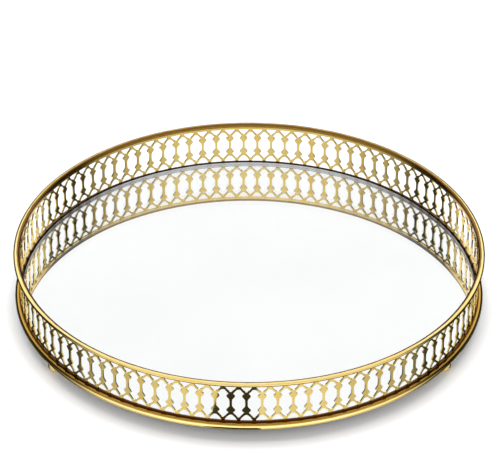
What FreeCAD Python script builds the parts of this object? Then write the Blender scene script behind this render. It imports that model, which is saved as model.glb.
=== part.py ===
"""Round mirrored vanity tray: a pierced gold gallery with a capped rim stands on a moulded base pan,
a mirror disc lies inside it on foam tape, and three ball feet are screwed to the pan from inside.
Millimetres. +Z is up, and the origin is under the tray's centre, on the surface that the feet stand on."""

import FreeCAD
import Part
import math
import os

os.makedirs("parts", exist_ok=True)
V = FreeCAD.Vector

# ---- driving dimensions ----
OVERALL_RADIUS = 165.0          # outside of the rim and of the base moulding
GALLERY_MEAN_RADIUS = 161.2
GALLERY_THICKNESS = 0.9
CELL_COUNT = 98                 # pierced cells round the gallery
CELLS_PER_PANEL = 7
PANEL_COUNT = CELL_COUNT // CELLS_PER_PANEL
FRONT_POST_ANGLE = -90.97       # a post of the front panels, degrees from +X
BACK_POST_ANGLE = 91.08         # a post of the back panels
ARC_PANELS = 5                  # panels at the nominal pitch, in front and again at the back
SIDE_PANELS = 2                 # panels on each side, which take up the difference in phase

FOOT_BALL_RADIUS = 5.2
FOOT_FLAT = 0.45                # how far the ball's top is faced off where it meets the pan
FOOT_PITCH_RADIUS = 157.0
FOOT_ANGLES = {"front_left": -148.1, "front_right": -31.9, "back": 90.0}
SCREW_RADIUS = 1.5
SCREW_CLEARANCE = 0.1
SCREW_HEAD_RADIUS = 3.0
SCREW_HEAD_HEIGHT = 0.5
SCREW_DEPTH = 5.5               # thread length inside the ball
SCREW_SLOT_WIDTH = 0.8
SCREW_SLOT_DEPTH = 0.3

PAN_THICKNESS = 0.6
MOULDING_RADIUS = 2.35          # section of the rounded moulding round the base
TAPE_THICKNESS = 0.75
TAPE_LENGTH = 60.0
TAPE_WIDTH = 20.0
TAPE_PITCH_RADIUS = 95.0
TAPE_COUNT = 6
SILVER_THICKNESS = 0.15
GLASS_THICKNESS = 4.0
GLASS_RADIUS = 159.8
GLASS_ARRIS = 0.4               # ground edge of the glass
SILVER_RADIUS = 159.4

RIM_INNER_RADIUS = 160.6
RIM_FLANK = 1.1                 # from the rim's flat underside up to its widest point
RIM_CROWN = 1.35                # from the widest point up to the top

# ---- one cell of the gallery, measured from its centre ----
GALLERY_CENTRE_RISE = 17.95     # centre of the piercing above the centre of the base moulding
RIM_RISE = 33.3                 # underside of the rim above the centre of the base moulding
WAIST_HALF = 4.33               # half width of the tall opening at mid height
WAIST_EDGE_X = 4.15             # where the curved side of the waist ends
WAIST_EDGE = 3.1
BARB_X = 2.25
BARB_LOW = 5.6
BARB_TOP_X = 2.5
BARB_TOP = 6.4
EAR_X = 4.0
EAR = 7.5
SHOULDER_X = 1.7
SHOULDER = 10.35
DOME_TOP = 11.35
SPANDREL_TOP = 13.65            # flat side of the small opening above a post
SPANDREL_BOTTOM = 14.45         # and of the one below it
SPANDREL_HALF = 4.1
SPANDREL_SIDE_X = 3.95
SPANDREL_SIDE = 13.2
SPANDREL_MID_X = 2.6
SPANDREL_MID = 11.15
SPANDREL_TIP_X = 1.3
SPANDREL_TIP = 9.85
SPANDREL_APEX = 9.3

# ---- heights worked out from them ----
PAN_BOTTOM = 2 * FOOT_BALL_RADIUS - FOOT_FLAT
MOULDING_CENTRE = PAN_BOTTOM + MOULDING_RADIUS
PAN_TOP = PAN_BOTTOM + PAN_THICKNESS
TAPE_TOP = PAN_TOP + TAPE_THICKNESS
SILVER_TOP = TAPE_TOP + SILVER_THICKNESS
GLASS_TOP = SILVER_TOP + GLASS_THICKNESS
RIM_BOTTOM = MOULDING_CENTRE + RIM_RISE
CELL_CENTRE = MOULDING_CENTRE + GALLERY_CENTRE_RISE
GALLERY_INNER = GALLERY_MEAN_RADIUS - GALLERY_THICKNESS / 2
GALLERY_OUTER = GALLERY_MEAN_RADIUS + GALLERY_THICKNESS / 2
NOMINAL_PITCH = 360.0 / CELL_COUNT


def save(shape, node):
    """Writes one node, after making sure that it is sound."""
    if not shape.isValid() or shape.Volume <= 0:
        raise ValueError(node + " is not a valid solid")
    shape.exportStep("parts/" + node + ".step")
    print(node, len(shape.Solids), "solid(s)", round(shape.Volume, 1), "mm3")


def line(a, b):
    return Part.LineSegment(a, b).toShape()


def arc(a, through, b):
    return Part.Arc(a, through, b).toShape()


def closed(points):
    """A wire of straight runs through the points and back to the first."""
    return Part.makePolygon(points + [points[0]])


def disc(radius, bottom, top):
    return Part.makeCylinder(radius, top - bottom, V(0, 0, bottom))


def at_angle(shape, degrees):
    """A copy of a shape turned about the tray's axis."""
    turned = shape.copy()
    turned.rotate(V(0, 0, 0), V(0, 0, 1), degrees)
    return turned


def revolved(edges, degrees=360.0):
    """A ring, or a sector of one, from a section drawn in the XZ plane."""
    return Part.Face(Part.Wire(edges)).revolve(V(0, 0, 0), V(0, 0, 1), degrees)


# ---- gallery ----
def radial_prism(edges):
    """A cutter that runs outwards through the gallery wall at angle 0."""
    depth = 3 * GALLERY_THICKNESS
    face = Part.Face(Part.Wire(edges))
    face.translate(V(GALLERY_INNER - GALLERY_THICKNESS, 0, 0))
    return face.extrude(V(depth, 0, 0))


def tall_opening(stretch):
    """The tall opening between two posts: a domed top and bottom, four barbs and slim straight sides."""

    def p(x, z):
        return V(0, x * stretch, CELL_CENTRE + z)

    right = [(SHOULDER_X, SHOULDER), (EAR_X, EAR), (BARB_TOP_X, BARB_TOP), (BARB_X, BARB_LOW),
             (WAIST_EDGE_X, WAIST_EDGE)]
    edges = [arc(p(-SHOULDER_X, SHOULDER), p(0, DOME_TOP), p(SHOULDER_X, SHOULDER)),
             arc(p(-SHOULDER_X, -SHOULDER), p(0, -DOME_TOP), p(SHOULDER_X, -SHOULDER))]
    for side in (-1, 1):
        for half in (-1, 1):
            for a, b in zip(right, right[1:]):
                edges.append(line(p(side * a[0], half * a[1]), p(side * b[0], half * b[1])))
        x, z = right[-1]
        edges.append(arc(p(side * x, z), p(side * WAIST_HALF, 0), p(side * x, -z)))
    return radial_prism(Part.__sortEdges__(edges))


def spandrel(stretch, half):
    """The small kite-shaped opening above (half = 1) or below (half = -1) a post."""
    flat = SPANDREL_TOP if half > 0 else SPANDREL_BOTTOM

    def p(x, z):
        return V(0, x * stretch, CELL_CENTRE + half * z)

    right = [(SPANDREL_HALF, flat), (SPANDREL_SIDE_X, SPANDREL_SIDE),
             (SPANDREL_MID_X, SPANDREL_MID), (SPANDREL_TIP_X, SPANDREL_TIP)]
    edges = [line(p(-SPANDREL_HALF, flat), p(SPANDREL_HALF, flat))]
    for side in (-1, 1):
        for a, b in zip(right, right[1:]):
            edges.append(line(p(side * a[0], a[1]), p(side * b[0], b[1])))
    tip_left = p(-SPANDREL_TIP_X, SPANDREL_TIP)
    tip_right = p(SPANDREL_TIP_X, SPANDREL_TIP)
    edges.append(arc(tip_left, p(0, SPANDREL_APEX), tip_right))
    return radial_prism(Part.__sortEdges__(edges))


def gallery_panel(start, pitch):
    """A sector of the strip with its own cells. It starts in the middle of an opening, where panels meet."""
    low, high = PAN_TOP, RIM_BOTTOM
    section = closed([V(GALLERY_INNER, 0, low), V(GALLERY_OUTER, 0, low),
                      V(GALLERY_OUTER, 0, high), V(GALLERY_INNER, 0, high)])
    strip = at_angle(revolved(section.Edges, pitch * CELLS_PER_PANEL), start)
    stretch = pitch / NOMINAL_PITCH
    opening = tall_opening(stretch)
    kites = [spandrel(stretch, 1), spandrel(stretch, -1)]
    cutters = [at_angle(opening, start + pitch * i) for i in range(CELLS_PER_PANEL + 1)]
    for i in range(CELLS_PER_PANEL):
        cutters += [at_angle(kite, start + pitch * (i + 0.5)) for kite in kites]
    return strip.cut(Part.makeCompound(cutters))


def gallery_layout():
    """Start angle and pitch of each panel, counter-clockwise from the first front panel on the left."""
    arc_cells = ARC_PANELS * CELLS_PER_PANEL
    half_arc = arc_cells / 2 * NOMINAL_PITCH
    side_cells = SIDE_PANELS * CELLS_PER_PANEL
    front_end = FRONT_POST_ANGLE + half_arc
    back_start = BACK_POST_ANGLE - half_arc
    back_end = BACK_POST_ANGLE + half_arc
    front_start = FRONT_POST_ANGLE - half_arc + 360.0
    right_pitch = (back_start - front_end) / side_cells
    left_pitch = (front_start - back_end) / side_cells
    runs = [(front_start - 360.0, NOMINAL_PITCH, ARC_PANELS),
            (front_end, right_pitch, SIDE_PANELS),
            (back_start, NOMINAL_PITCH, ARC_PANELS),
            (back_end, left_pitch, SIDE_PANELS)]
    layout = []
    for start, pitch, count in runs:
        for i in range(count):
            layout.append((start + pitch * CELLS_PER_PANEL * i, pitch))
    return layout


# ---- rim, base and mirror ----
def rim():
    """The cap rail: flat underside on the gallery's top edge, half-oval crown and rounded outer flank."""
    inner = RIM_INNER_RADIUS
    outer = OVERALL_RADIUS
    wide = RIM_BOTTOM + RIM_FLANK
    middle = (inner + outer) / 2
    foot = outer - RIM_FLANK
    diagonal = RIM_FLANK * math.sqrt(0.5)
    oval = Part.Ellipse(V(outer, 0, wide), V(middle, 0, wide + RIM_CROWN), V(middle, 0, wide))
    crown = Part.ArcOfEllipse(oval, 0, math.pi).toShape()
    edges = [line(V(inner, 0, RIM_BOTTOM), V(foot, 0, RIM_BOTTOM)),
             arc(V(foot, 0, RIM_BOTTOM), V(foot + diagonal, 0, wide - diagonal), V(outer, 0, wide)),
             crown,
             line(V(inner, 0, wide), V(inner, 0, RIM_BOTTOM))]
    return revolved(edges)


def base_moulding():
    """The rounded moulding round the foot of the gallery, with a flat back against the strip."""
    centre = OVERALL_RADIUS - MOULDING_RADIUS
    reach = math.sqrt(MOULDING_RADIUS ** 2 - (GALLERY_OUTER - centre) ** 2)
    low = V(GALLERY_OUTER, 0, MOULDING_CENTRE - reach)
    high = V(GALLERY_OUTER, 0, MOULDING_CENTRE + reach)
    return revolved([arc(low, V(OVERALL_RADIUS, 0, MOULDING_CENTRE), high), line(high, low)])


def screw_places():
    """Centre of each foot on the surface that the tray stands on."""
    places = {}
    for name, degrees in FOOT_ANGLES.items():
        angle = math.radians(degrees)
        places[name] = V(FOOT_PITCH_RADIUS * math.cos(angle), FOOT_PITCH_RADIUS * math.sin(angle), 0)
    return places


def base_pan():
    """The sheet pan under everything, with a clearance hole over each foot."""
    pan = disc(GALLERY_OUTER, PAN_BOTTOM, PAN_TOP)
    for place in screw_places().values():
        hole = Part.makeCylinder(SCREW_RADIUS + SCREW_CLEARANCE, 3 * PAN_THICKNESS,
                                 place + V(0, 0, PAN_BOTTOM - PAN_THICKNESS))
        pan = pan.cut(hole)
    return pan


def mirror_glass():
    glass = disc(GLASS_RADIUS, SILVER_TOP, GLASS_TOP)
    return glass.makeChamfer(GLASS_ARRIS, [e for e in glass.Edges if len(e.Vertexes) == 1])


def tape_pad(degrees):
    """One strip of foam tape that holds the mirror to the pan."""
    pad = Part.makeBox(TAPE_WIDTH, TAPE_LENGTH, TAPE_THICKNESS,
                       V(TAPE_PITCH_RADIUS - TAPE_WIDTH / 2, -TAPE_LENGTH / 2, PAN_TOP))
    return at_angle(pad, degrees)


# ---- feet ----
def foot_ball(place):
    """A ball faced off on top, with a blind threaded hole for its screw."""
    ball = Part.makeSphere(FOOT_BALL_RADIUS, place + V(0, 0, FOOT_BALL_RADIUS))
    faced = 2 * FOOT_BALL_RADIUS - FOOT_FLAT
    waste = Part.makeCylinder(FOOT_BALL_RADIUS, FOOT_BALL_RADIUS, place + V(0, 0, faced))
    hole = Part.makeCylinder(SCREW_RADIUS, SCREW_DEPTH, place + V(0, 0, faced - SCREW_DEPTH))
    return ball.cut(waste).cut(hole)


def foot_screw(place):
    """A thin flat-head screw, down through the pan into the ball."""
    length = SCREW_DEPTH + PAN_THICKNESS - SCREW_CLEARANCE
    shank_radius = SCREW_RADIUS - SCREW_CLEARANCE / 2
    slot_bottom = PAN_TOP + SCREW_HEAD_HEIGHT - SCREW_SLOT_DEPTH
    slot_corner = place + V(-SCREW_HEAD_RADIUS, -SCREW_SLOT_WIDTH / 2, slot_bottom)
    shank = Part.makeCylinder(shank_radius, length, place + V(0, 0, PAN_TOP - length))
    head = Part.makeCylinder(SCREW_HEAD_RADIUS, SCREW_HEAD_HEIGHT, place + V(0, 0, PAN_TOP))
    slot = Part.makeBox(2 * SCREW_HEAD_RADIUS, SCREW_SLOT_WIDTH, SCREW_SLOT_DEPTH, slot_corner)
    return shank.fuse(head).removeSplitter().cut(slot)


for number, (start_angle, cell_pitch) in enumerate(gallery_layout(), 1):
    save(gallery_panel(start_angle, cell_pitch), "gallery_panel_%02d" % number)
save(rim(), "rim_cap_rail")
save(base_moulding(), "base_moulding")
save(base_pan(), "base_pan")
save(mirror_glass(), "mirror_glass")
save(disc(SILVER_RADIUS, TAPE_TOP, SILVER_TOP), "mirror_silvering")
for number in range(TAPE_COUNT):
    save(tape_pad(360.0 / TAPE_COUNT * number), "foam_tape_pad_%d" % (number + 1))
for foot, centre in screw_places().items():
    save(foot_ball(centre), "ball_foot_" + foot)
    save(foot_screw(centre), "foot_screw_" + foot)
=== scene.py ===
"""Looks for a round mirrored vanity tray with a pierced gold gallery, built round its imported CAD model.
Metres. +Z is up, the front of the tray faces -Y, and the origin is on the floor under its centre."""

import bmesh
import bpy
import math
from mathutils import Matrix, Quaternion, Vector

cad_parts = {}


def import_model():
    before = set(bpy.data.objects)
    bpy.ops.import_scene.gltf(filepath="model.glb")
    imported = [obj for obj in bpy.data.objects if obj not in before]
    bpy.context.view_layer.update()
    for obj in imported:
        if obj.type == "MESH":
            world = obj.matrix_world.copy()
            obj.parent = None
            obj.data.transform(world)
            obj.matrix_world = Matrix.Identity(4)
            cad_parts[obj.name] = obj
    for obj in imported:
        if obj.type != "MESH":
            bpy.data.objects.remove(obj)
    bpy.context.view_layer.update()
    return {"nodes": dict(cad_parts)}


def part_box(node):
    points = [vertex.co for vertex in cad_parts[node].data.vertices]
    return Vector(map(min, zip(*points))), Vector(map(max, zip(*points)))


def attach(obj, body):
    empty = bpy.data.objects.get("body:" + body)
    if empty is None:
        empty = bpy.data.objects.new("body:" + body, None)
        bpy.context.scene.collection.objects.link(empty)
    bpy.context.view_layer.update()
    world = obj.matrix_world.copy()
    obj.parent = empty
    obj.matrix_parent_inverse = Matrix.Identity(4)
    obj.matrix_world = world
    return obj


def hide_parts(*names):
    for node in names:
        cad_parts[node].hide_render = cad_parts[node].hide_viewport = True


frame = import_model()
MM = 0.001


# ---- sizes read from the frame ----
def node_top(node):
    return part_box(node)[1].z


def node_bottom(node):
    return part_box(node)[0].z


def radii(node):
    """Smallest and largest distance of a node's corners from the tray's axis."""
    distances = [math.hypot(v.co.x, v.co.y) for v in frame["nodes"][node].data.vertices]
    return min(distances), max(distances)


BASE_CENTRE = (node_top("base_moulding") + node_bottom("base_moulding")) / 2
MOULDING_TOP = node_top("base_moulding")
RIM_INSIDE = radii("rim_cap_rail")[0]
RIM_FLANK = 1.1 * MM                    # round of the rim's outer flank
RIM_WIDEST = node_bottom("rim_cap_rail") + RIM_FLANK
FOOT_LAP = 0.1 * MM                     # the painted shade on the gallery's foot is measured from this far below the glass's top
GALLERY_FOOT = node_top("mirror_glass") - FOOT_LAP

# ---- finer shape than the CAD's ----
RING_SEGMENTS = 720
BALL_SEGMENTS = 64
FLANK_STEPS = 8
CROWN_STEPS = 40
MOULDING_STEPS = 44
BALL_STEPS = 32
SHARP_ANGLE = 30.0                      # two faces that meet at more than this keep their edge
EDGE_CUT = 0.1 * MM                     # small bevel where the rim's inner side meets its underside
PANEL_ROUND = 0.12 * MM                 # cut edges of the stamped gallery
PANEL_ROUND_STEPS = 2
PANEL_ROUND_ANGLE = 40.0
GLASS_ARRIS = 0.2 * MM
SILVER_RISE = 0.03 * MM                 # the bright face stands this far above the coat's painted back

# ---- gold plating, and the painted shade laid into it ----
GOLD = (0.94, 0.74, 0.30)               # polished rim, moulding and feet
GOLD_DEEP = (0.90, 0.65, 0.20)
GRILLE_GOLD = (0.93, 0.725, 0.26)       # pierced strip
GRILLE_GOLD_DEEP = (0.88, 0.625, 0.165)
# painted shade: near-black brown on the gallery's foot where the strip meets the glass and the moulding, in place
# of the shade that falls there
CREVICE_PAINTED_SHADE = (0.11, 0.042, 0.008)
# painted shade and painted reflection: orange-brown on the moulding's top where it meets the gallery
RECESS_PAINTED_SHADE = (0.50, 0.30, 0.055)
# painted reflection: dark brown along the rim's inner edge, in place of the dark surroundings mirrored there
EDGE_PAINTED_SHADE = (0.20, 0.095, 0.016)
# painted reflection: darker gold on the rim's flank below its widest line
FLANK_PAINTED_SHADE = (0.33, 0.19, 0.04)
JOINT_LINE = (0.12, 0.06, 0.02)
SHADE_WANDER = 0.16 * MM                # how far the edge of a shade strays to either side
RIM_JOINT_ANGLE = -41.2                 # from +X, where the rim's two ends meet
JOINT_WIDTH = 0.25 * MM
PEEL_DEPTH = 0.02 * MM

# Each painted shade is (axis, clean, dark, colour): none of it at one distance from the axis ("r") or height ("z"),
# and all of it at the other and beyond. Its colour stands in for shade and dark reflections.
# painted shade along the gallery's foot
GALLERY_SHADES = [("z", GALLERY_FOOT + 2.0 * MM, GALLERY_FOOT + 0.7 * MM, CREVICE_PAINTED_SHADE)]
# painted dark reflections on the rim's inner edge and on its flank
RIM_SHADES = [("r", RIM_INSIDE + 2.5 * MM, RIM_INSIDE + 1.7 * MM, EDGE_PAINTED_SHADE),
              ("z", RIM_WIDEST + 0.5 * MM, RIM_WIDEST, FLANK_PAINTED_SHADE)]
# painted shade on the moulding's top, next to the gallery
MOULDING_SHADES = [("z", MOULDING_TOP - 0.95 * MM, MOULDING_TOP - 0.6 * MM, RECESS_PAINTED_SHADE)]

# ---- floor and light ----
FLOOR_RADIUS = 7.0
FLOOR_CORNERS = 128
FLOOR_DROP = 0.02 * MM
FLOOR_WHITE = (0.93, 0.93, 0.935)
FLOOR_MIRROR = (0.93, 0.93, 0.93)

CARD_BLACK = (0.01, 0.01, 0.01)
CARD_GREY = (0.03, 0.03, 0.03)
CARD_GAP = 1.0 * MM                                 # between the tray's edge and the cards
FRONT_CARD = (-35.0 * MM, 8.0 * MM, 69.0 * MM)      # left end, right end and depth
SIDE_CARD_DEPTH = 85.0 * MM
SIDE_CARD_STEPS = 24
LEFT_CARD = (-62.0, -104.0)                         # turn from straight in front, in degrees
RIGHT_CARD = (66.0, 104.0)

SKY_TOP = 2.0
# brightness against elevation, in front of the tray and behind it
FRONT_SKY = [(-90.0, 1.60), (23.0, 1.60), (30.0, 1.12), (35.0, 1.00), (46.0, 0.82), (62.0, 0.76), (90.0, 0.95)]
BACK_SKY = [(-90.0, 0.02), (20.0, 0.03), (27.0, 1.38), (40.0, 1.31), (50.0, 1.15), (76.0, 1.05), (90.0, 0.95)]
BACK_STARTS = -0.35                                 # a direction's y where the back sky begins to show
BACK_WHOLE = 0.15
# how dark the side walls are against the turn away from straight in front, and where they end in elevation
SIDE_WALLS = [(0.0, 0.0), (36.0, 0.06), (68.0, 0.36), (84.0, 0.62), (95.0, 0.96), (122.0, 0.96), (140.0, 0.0)]
WALL_BOTTOM = 6.0
WALL_TOP = 52.0
WALL_EDGE = 8.0
BLACK = (0.0, 0.0, 0.0)

# ---- camera ----
CAMERA_DISTANCE = 2089.8 * MM
CAMERA_ELEVATION = 33.479
CAMERA_YAW = -0.466
CAMERA_ROLL = 0.199
LOOK_X = 0.14 * MM
LOOK_Y = 76.7 * MM
SENSOR = 36.0
LENS = 207.34
NEAREST = 0.05
FARTHEST = 50.0


# ---- shader nodes ----
def socket_called(sockets, identifier):
    return next(socket for socket in sockets if socket.identifier == identifier)


class Graph:
    """A node tree, with a short method for each kind of node that the looks are made of."""

    def __init__(self, tree):
        self.nodes = tree.nodes
        self.links = tree.links

    def feed(self, socket, value):
        """Gives a socket a constant number or colour, or links it to another node's output."""
        if isinstance(value, bpy.types.NodeSocket):
            self.links.new(value, socket)
        elif socket.type == "RGBA":
            socket.default_value = (*value, 1.0)
        else:
            socket.default_value = value

    def set(self, node, **values):
        for name, value in values.items():
            self.feed(node.inputs[name.replace("_", " ")], value)

    def add(self, kind, **values):
        node = self.nodes.new(kind)
        self.set(node, **values)
        return node

    def place(self):
        """The point on the tray."""
        return self.add("ShaderNodeTexCoord").outputs["Object"]

    def noise(self, place, scale, detail=3.0):
        return self.add("ShaderNodeTexNoise", Vector=place, Scale=scale, Detail=detail).outputs["Fac"]

    def ramp(self, source, stops):
        node = self.add("ShaderNodeValToRGB", Fac=source)
        while len(node.color_ramp.elements) < len(stops):
            node.color_ramp.elements.new(0.5)
        for element, (position, colour) in zip(node.color_ramp.elements, stops):
            element.position = position
            element.color = (*colour, 1.0)
        return node.outputs["Color"]

    def spread(self, source, low, high, from_low=0.3, from_high=0.7):
        """Stretches one range of a value over another. The default suits a noise, which seldom leaves it."""
        node = self.add("ShaderNodeMapRange", Value=source, From_Min=from_low, From_Max=from_high,
                        To_Min=low, To_Max=high)
        return node.outputs["Result"]

    def between(self, value, low, high, edge):
        """1 between two limits and 0 outside, with a soft edge."""
        rise = self.spread(value, 0.0, 1.0, low - edge / 2, low + edge / 2)
        fall = self.spread(value, 1.0, 0.0, high - edge / 2, high + edge / 2)
        return self.maths("MULTIPLY", rise, fall)

    def maths(self, operation, *values):
        node = self.add("ShaderNodeMath")
        node.operation = operation
        for socket, value in zip(node.inputs, values):
            self.feed(socket, value)
        return node.outputs["Value"]

    def along(self, place, direction):
        """How far a point lies from the origin in one direction."""
        node = self.add("ShaderNodeVectorMath")
        node.operation = "DOT_PRODUCT"
        self.feed(node.inputs[0], place)
        self.feed(node.inputs[1], direction)
        return node.outputs["Value"]

    def from_axis(self, x, y):
        """The distance from the tray's axis."""
        node = self.add("ShaderNodeVectorMath")
        node.operation = "LENGTH"
        self.feed(node.inputs[0], self.add("ShaderNodeCombineXYZ", X=x, Y=y).outputs["Vector"])
        return node.outputs["Value"]

    def bump(self, height, distance, strength):
        return self.add("ShaderNodeBump", Height=height, Distance=distance, Strength=strength).outputs["Normal"]

    def blend(self, factor, first, second):
        """The first colour where the factor is 0 and the second where it is 1."""
        node = self.add("ShaderNodeMix")
        node.data_type = "RGBA"
        for identifier, value in (("Factor_Float", factor), ("A_Color", first), ("B_Color", second)):
            self.feed(socket_called(node.inputs, identifier), value)
        return socket_called(node.outputs, "Result_Color")


def new_material(name):
    material = bpy.data.materials.new(name)
    material.use_nodes = True
    return material, Graph(material.node_tree), material.node_tree.nodes["Principled BSDF"]


# ---- materials ----
def across_joint(graph, place, degrees):
    """1 on a hairline that crosses the ring at an angle from +X, and 0 elsewhere."""
    angle = math.radians(degrees)
    sideways = graph.along(place, (-math.sin(angle), math.cos(angle), 0.0))
    outward = graph.along(place, (math.cos(angle), math.sin(angle), 0.0))
    near = graph.maths("LESS_THAN", graph.maths("ABSOLUTE", sideways), JOINT_WIDTH / 2)
    return graph.maths("MULTIPLY", near, graph.maths("GREATER_THAN", outward, 0.0))


def gilt(name, polished, dullest, shades=(), light=GOLD, deep=GOLD_DEEP, joint=None):
    """Gold plating. Its colour drifts a little, its roughness wanders between two values, and each painted shade
    darkens it towards an edge or a recess, in place of the shade and dark reflections there."""
    material, graph, shader = new_material(name)
    place = graph.place()
    parts = graph.add("ShaderNodeSeparateXYZ", Vector=place).outputs
    reach = {"r": graph.from_axis(parts["X"], parts["Y"]), "z": parts["Z"]}
    colour = graph.ramp(graph.noise(place, scale=38.0), [(0.30, deep), (0.62, light)])
    wander = graph.spread(graph.noise(place, scale=160.0, detail=4.0), -SHADE_WANDER, SHADE_WANDER)
    # each pass paints a shade into the colour
    for axis, clean, dark, shade in shades:
        amount = graph.spread(graph.maths("ADD", reach[axis], wander), 0.0, 1.0, clean, dark)
        colour = graph.blend(amount, colour, shade)
    if joint is not None:
        colour = graph.blend(across_joint(graph, place, joint), colour, JOINT_LINE)
    polish = graph.noise(place, scale=420.0, detail=5.0)
    peel = graph.noise(place, scale=900.0, detail=2.0)
    graph.set(shader, Base_Color=colour, Roughness=graph.spread(polish, polished, dullest), Metallic=1.0,
              Normal=graph.bump(peel, PEEL_DEPTH, strength=0.25))
    return material


def glass():
    """Clear float glass with the faintest film of polish on it."""
    material, graph, shader = new_material("mirror_glass_clear")
    film = graph.noise(graph.place(), scale=14.0, detail=5.0)
    graph.set(shader, Base_Color=(0.985, 0.993, 0.990), IOR=1.52, Transmission_Weight=1.0,
              Roughness=graph.spread(film, 0.0, 0.012, 0.45, 0.75))
    return material


def silver():
    """The bright face of the coat, faintly clouded."""
    material, graph, shader = new_material("silvering_bright")
    cloud = graph.noise(graph.place(), scale=9.0)
    graph.set(shader, Metallic=1.0, Roughness=0.0,
              Base_Color=graph.ramp(cloud, [(0.35, (0.715, 0.720, 0.718)), (0.65, (0.735, 0.740, 0.738))]))
    return material


def ground_glass():
    """The edge of the plate, ground to a satin and caught by the silvering spray."""
    material, graph, shader = new_material("mirror_glass_edge")
    grain = graph.noise(graph.place(), scale=2500.0, detail=2.0)
    graph.set(shader, Metallic=1.0, Roughness=graph.spread(grain, 0.26, 0.38),
              Base_Color=graph.ramp(grain, [(0.3, (0.93, 0.93, 0.95)), (0.7, (0.98, 0.98, 0.99))]))
    return material


def backing_paint():
    """Grey paint on the back of the coat."""
    material, graph, shader = new_material("silvering_back_paint")
    film = graph.noise(graph.place(), scale=60.0, detail=4.0)
    graph.set(shader, Roughness=0.55,
              Base_Color=graph.ramp(film, [(0.3, (0.20, 0.21, 0.22)), (0.7, (0.27, 0.28, 0.29))]))
    return material


def pan_sheet():
    """Dull zinc-plated sheet, with the plating's faint crystals."""
    material, graph, shader = new_material("pan_zinc")
    crystals = graph.add("ShaderNodeTexVoronoi", Vector=graph.place(), Scale=260.0)
    grey = graph.add("ShaderNodeSeparateColor", Color=crystals.outputs["Color"]).outputs
    tone = graph.spread(grey["Red"], 0.0, 1.0, 0.0, 1.0)
    graph.set(shader, Metallic=1.0, Roughness=graph.spread(grey["Green"], 0.34, 0.46, 0.0, 1.0),
              Base_Color=graph.ramp(tone, [(0.0, (0.50, 0.51, 0.53)), (1.0, (0.60, 0.61, 0.63))]))
    return material


def foam():
    """White foam tape."""
    material, graph, shader = new_material("foam_tape_white")
    cells = graph.noise(graph.place(), scale=1800.0, detail=4.0)
    graph.set(shader, Roughness=0.85, Normal=graph.bump(cells, 0.1 * MM, strength=0.6),
              Base_Color=graph.ramp(cells, [(0.35, (0.72, 0.71, 0.68)), (0.65, (0.86, 0.86, 0.83))]))
    return material


def zinc():
    """Zinc-plated screw steel."""
    material, graph, shader = new_material("screw_zinc")
    grain = graph.noise(graph.place(), scale=1500.0)
    graph.set(shader, Metallic=1.0, Roughness=graph.spread(grain, 0.22, 0.38),
              Base_Color=graph.ramp(grain, [(0.3, (0.45, 0.46, 0.48)), (0.7, (0.66, 0.67, 0.68))]))
    return material


def paint(node, material):
    thing = frame["nodes"][node]
    thing.data.materials.clear()
    thing.data.materials.append(material)
    return thing


# ---- turned shapes ----
def arc_points(centre, reach, start, end, count):
    """Points along part of an ellipse in the section plane. Angles are in degrees from the outward direction."""
    angles = [math.radians(start + (end - start) * i / count) for i in range(count + 1)]
    return [(centre[0] + reach[0] * math.cos(a), centre[1] + reach[1] * math.sin(a)) for a in angles]


def lathe(name, profile, materials, segments, run_materials=None, centre=(0.0, 0.0)):
    """A closed ring or disc turned from a section of (radius, height) points. A radius of 0 closes it on the axis.
    run_materials gives each run of the section the number of its material."""
    middle_x, middle_y = centre
    turns = [2 * math.pi * i / segments for i in range(segments)]
    shape = bmesh.new()
    rows = []
    for radius, height in profile:
        spots = [(0.0, 0.0)] if radius == 0.0 else [(radius * math.cos(t), radius * math.sin(t)) for t in turns]
        rows.append([shape.verts.new((middle_x + x, middle_y + y, height)) for x, y in spots])
    runs = list(zip(rows, rows[1:]))
    if profile[0][0] != 0.0:
        runs.append((rows[-1], rows[0]))
    for number, (low, high) in enumerate(runs):
        for i in range(segments):
            j = (i + 1) % segments
            corners = [low[i % len(low)], low[j % len(low)], high[j % len(high)], high[i % len(high)]]
            face = shape.faces.new(list(dict.fromkeys(corners)))
            face.smooth = True
            face.material_index = run_materials[number] if run_materials else 0
    bmesh.ops.recalc_face_normals(shape, faces=shape.faces)
    mesh = bpy.data.meshes.new(name)
    shape.to_mesh(mesh)
    shape.free()
    mesh.set_sharp_from_angle(angle=math.radians(SHARP_ANGLE))
    for material in materials:
        mesh.materials.append(material)
    thing = bpy.data.objects.new(name, mesh)
    bpy.context.collection.objects.link(thing)
    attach(thing, "root")
    return thing


def mirror_plate():
    """Float glass with a ground arris at each edge, silvered underneath."""
    low, high = node_bottom("mirror_glass") + SILVER_RISE, node_top("mirror_glass")
    edge = radii("mirror_glass")[1]
    clear, bright, ground = 0, 1, 2
    profile = [(0.0, high), (edge - GLASS_ARRIS, high), (edge, high - GLASS_ARRIS),
               (edge, low + GLASS_ARRIS), (edge - GLASS_ARRIS, low), (0.0, low)]
    plate = lathe("mirror_plate", profile, [glass(), silver(), ground_glass()], RING_SEGMENTS,
                  run_materials=[clear, ground, ground, ground, bright])
    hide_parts("mirror_glass")


def rim_rail(gold):
    """The cap rail: half-oval crown, rounded outer flank and a flat underside on the gallery."""
    inner, outer = radii("rim_cap_rail")
    bottom, top = node_bottom("rim_cap_rail"), node_top("rim_cap_rail")
    middle, half = (inner + outer) / 2, (outer - inner) / 2
    section = [(inner + EDGE_CUT, bottom)]
    section += arc_points((outer - RIM_FLANK, RIM_WIDEST), (RIM_FLANK, RIM_FLANK), -90.0, 0.0, FLANK_STEPS)
    section += arc_points((middle, RIM_WIDEST), (half, top - RIM_WIDEST), 0.0, 180.0, CROWN_STEPS)[1:]
    section += [(inner, bottom + EDGE_CUT)]
    rail = lathe("rim_rail", section, [gold], RING_SEGMENTS)
    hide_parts("rim_cap_rail")


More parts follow.
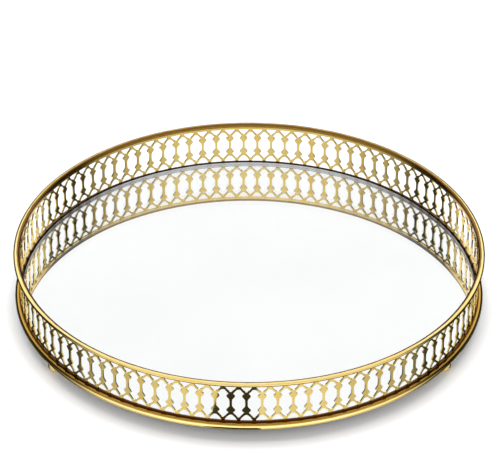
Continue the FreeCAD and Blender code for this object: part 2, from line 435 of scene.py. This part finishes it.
def moulding(gold):
    """The rounded moulding, with a flat back against the gallery."""
    back, outer = radii("base_moulding")
    radius = (node_top("base_moulding") - node_bottom("base_moulding")) / 2
    swing = math.degrees(math.acos((back - outer + radius) / radius))
    section = arc_points((outer - radius, BASE_CENTRE), (radius, radius), -swing, swing, MOULDING_STEPS)
    ring = lathe("foot_moulding", section, [gold], RING_SEGMENTS)
    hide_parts("base_moulding")


def ball(node, gold):
    """A turned ball foot, faced off flat where it meets the pan."""
    low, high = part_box(node)
    radius = (high.x - low.x) / 2
    centre = ((high.x + low.x) / 2, (high.y + low.y) / 2)
    face = math.degrees(math.asin((high.z - low.z - radius) / radius))
    section = arc_points((0.0, low.z + radius), (radius, radius), -90.0, face, BALL_STEPS)
    section = [(0.0, low.z)] + section[1:] + [(0.0, high.z)]
    foot = lathe(node.replace("ball_foot", "turned_foot"), section, [gold], BALL_SEGMENTS, centre=centre)
    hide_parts(node)


def round_edges(thing):
    """Takes the knife edge off a stamped sheet."""
    rounding = thing.modifiers.new("edge_round", "BEVEL")
    rounding.width = PANEL_ROUND
    rounding.segments = PANEL_ROUND_STEPS
    rounding.limit_method = "ANGLE"
    rounding.angle_limit = math.radians(PANEL_ROUND_ANGLE)
    rounding.use_clamp_overlap = True


def tray():
    """Every piece in its finish, with finer shapes for the turned ones and the glass."""
    gallery_gold = gilt("gallery_gold", polished=0.06, dullest=0.13, shades=GALLERY_SHADES, light=GRILLE_GOLD,
                        deep=GRILLE_GOLD_DEEP)
    rim_gold = gilt("rim_gold", polished=0.03, dullest=0.07, shades=RIM_SHADES, joint=RIM_JOINT_ANGLE)
    base_gold = gilt("base_gold", polished=0.03, dullest=0.07, shades=MOULDING_SHADES)
    foot_gold = gilt("foot_gold", polished=0.04, dullest=0.09)
    foam_white = foam()
    screw_steel = zinc()
    for node in frame["nodes"]:
        if node.startswith("gallery_panel"):
            round_edges(paint(node, gallery_gold))
        if node.startswith("foam_tape"):
            paint(node, foam_white)
        if node.startswith("foot_screw"):
            paint(node, screw_steel)
        if node.startswith("ball_foot"):
            paint(node, foot_gold)
            ball(node, foot_gold)
    paint("rim_cap_rail", rim_gold)
    paint("base_moulding", base_gold)
    rim_rail(rim_gold)
    moulding(base_gold)
    paint("base_pan", pan_sheet())
    paint("mirror_silvering", backing_paint())
    mirror_plate()


# ---- floor ----
def only_reflected(thing):
    """Hides a thing from every ray but a glossy one."""
    thing.visible_camera = False
    thing.visible_diffuse = False
    thing.visible_shadow = False
    thing.visible_transmission = False


def disc_floor(name, **look):
    """A round floor. The values that follow its name are the shader's."""
    bpy.ops.mesh.primitive_circle_add(vertices=FLOOR_CORNERS, radius=FLOOR_RADIUS, fill_type="NGON",
                                      location=(0, 0, -FLOOR_DROP))
    thing = bpy.context.object
    thing.name = name
    material, graph, shader = new_material(name)
    graph.set(shader, **look)
    thing.data.materials.append(material)
    return thing


def floor():
    """The pale floor that is seen, and a mirror in its place that only the glossy rays meet."""
    seen = disc_floor("floor_white", Base_Color=FLOOR_WHITE, Roughness=0.08, IOR=1.6)
    seen.visible_glossy = False
    only_reflected(disc_floor("floor_gloss", Base_Color=FLOOR_MIRROR, Roughness=0.02, Metallic=1.0))


def floor_card(name, corners, faces, colour):
    """A dark card lying on the floor, which only the glossy rays meet."""
    mesh = bpy.data.meshes.new(name)
    mesh.from_pydata(corners, [], faces)
    card = bpy.data.objects.new(name, mesh)
    material, graph, shader = new_material(name)
    graph.set(shader, Base_Color=colour, Roughness=0.9)
    mesh.materials.append(material)
    bpy.context.collection.objects.link(card)
    only_reflected(card)


def ring_card(name, start, end, inner, outer):
    """A dark grey floor card that follows the tray's edge between two turns."""
    turns = [math.radians(start + (end - start) * i / SIDE_CARD_STEPS) for i in range(SIDE_CARD_STEPS + 1)]
    corners = [(r * math.sin(t), -r * math.cos(t), 0.0) for t in turns for r in (inner, outer)]
    faces = [(2 * i, 2 * i + 1, 2 * i + 3, 2 * i + 2) for i in range(SIDE_CARD_STEPS)]
    floor_card(name, corners, faces, CARD_GREY)


def floor_cards():
    """A black one in front of the tray's middle, and a dark grey one round each side."""
    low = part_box("base_moulding")[0]
    left, right, depth = FRONT_CARD
    near, far = low.y - CARD_GAP, low.y - CARD_GAP - depth
    corners = [(left, far, 0.0), (right, far, 0.0), (right, near, 0.0), (left, near, 0.0)]
    floor_card("front_card", corners, [(0, 1, 2, 3)], CARD_BLACK)
    inner = -low.x + CARD_GAP
    ring_card("left_card", *LEFT_CARD, inner, inner + SIDE_CARD_DEPTH)
    ring_card("right_card", *RIGHT_CARD, inner, inner + SIDE_CARD_DEPTH)


# ---- light ----
def sky_colours(graph, elevation, profile):
    """Greys up the sky from (elevation, brightness) pairs, as parts of the brightest level."""
    stops = [((angle + 90.0) / 180.0, (level / SKY_TOP,) * 3) for angle, level in profile]
    return graph.ramp(graph.spread(elevation, 0.0, 1.0, -90.0, 90.0), stops)


def world():
    """A studio with one sky in front of the tray and one behind it, and dark walls at the sides."""
    sky = bpy.data.worlds.new("studio")
    bpy.context.scene.world = sky
    sky.use_nodes = True
    graph = Graph(sky.node_tree)
    direction = graph.add("ShaderNodeTexCoord").outputs["Generated"]
    parts = graph.add("ShaderNodeSeparateXYZ", Vector=direction).outputs
    degree = 180.0 / math.pi
    forward = graph.maths("MULTIPLY", parts["Y"], -1.0)
    turn = graph.maths("MULTIPLY", graph.maths("ARCTAN2", parts["X"], forward), degree)
    elevation = graph.maths("MULTIPLY", graph.maths("ARCSINE", parts["Z"]), degree)
    behind = graph.spread(parts["Y"], 0.0, 1.0, BACK_STARTS, BACK_WHOLE)
    light = graph.blend(behind, sky_colours(graph, elevation, FRONT_SKY), sky_colours(graph, elevation, BACK_SKY))
    walls = graph.ramp(graph.spread(graph.maths("ABSOLUTE", turn), 0.0, 1.0, 0.0, 180.0),
                       [(angle / 180.0, (depth,) * 3) for angle, depth in SIDE_WALLS])
    rise = graph.between(elevation, WALL_BOTTOM, WALL_TOP, WALL_EDGE)
    light = graph.blend(graph.maths("MULTIPLY", walls, rise), light, BLACK)
    graph.set(graph.nodes["Background"], Color=light, Strength=SKY_TOP)


def softbox(name, place, size, power):
    """A soft light aimed at the tray, which the polished pieces don't reflect."""
    light = bpy.data.lights.new(name, "AREA")
    light.shape = "RECTANGLE"
    light.size, light.size_y = size
    light.energy = power
    thing = bpy.data.objects.new(name, light)
    thing.location = place
    thing.rotation_euler = (-Vector(place)).to_track_quat("-Z", "Y").to_euler()
    thing.visible_glossy = False
    thing.visible_transmission = False
    bpy.context.collection.objects.link(thing)


# ---- camera ----
def camera():
    elevation, yaw, roll = (math.radians(a) for a in (CAMERA_ELEVATION, CAMERA_YAW, CAMERA_ROLL))
    flat = math.cos(elevation)
    back = Vector((math.sin(yaw) * flat, -math.cos(yaw) * flat, math.sin(elevation)))
    lens = bpy.data.cameras.new("camera")
    lens.sensor_width = SENSOR
    lens.lens = LENS
    lens.clip_start = NEAREST
    lens.clip_end = FARTHEST
    thing = bpy.data.objects.new("camera", lens)
    thing.location = Vector((LOOK_X, LOOK_Y, BASE_CENTRE)) + back * CAMERA_DISTANCE
    thing.rotation_mode = "QUATERNION"
    thing.rotation_quaternion = (-back).to_track_quat("-Z", "Y") @ Quaternion((0, 0, 1), roll)
    bpy.context.collection.objects.link(thing)
    bpy.context.scene.camera = thing


tray()
floor()
floor_cards()
world()
softbox("overhead", place=(0.0, 0.15, 1.6), size=(1.8, 1.4), power=20.0)
softbox("front_fill", place=(0.0, -1.5, 1.1), size=(2.4, 1.0), power=9.0)
softbox("left_fill", place=(-1.7, 0.1, 0.8), size=(1.4, 0.9), power=5.0)
softbox("right_fill", place=(1.7, 0.1, 0.8), size=(1.4, 0.9), power=5.0)
camera()
bpy.context.scene.view_settings.view_transform = "Standard"
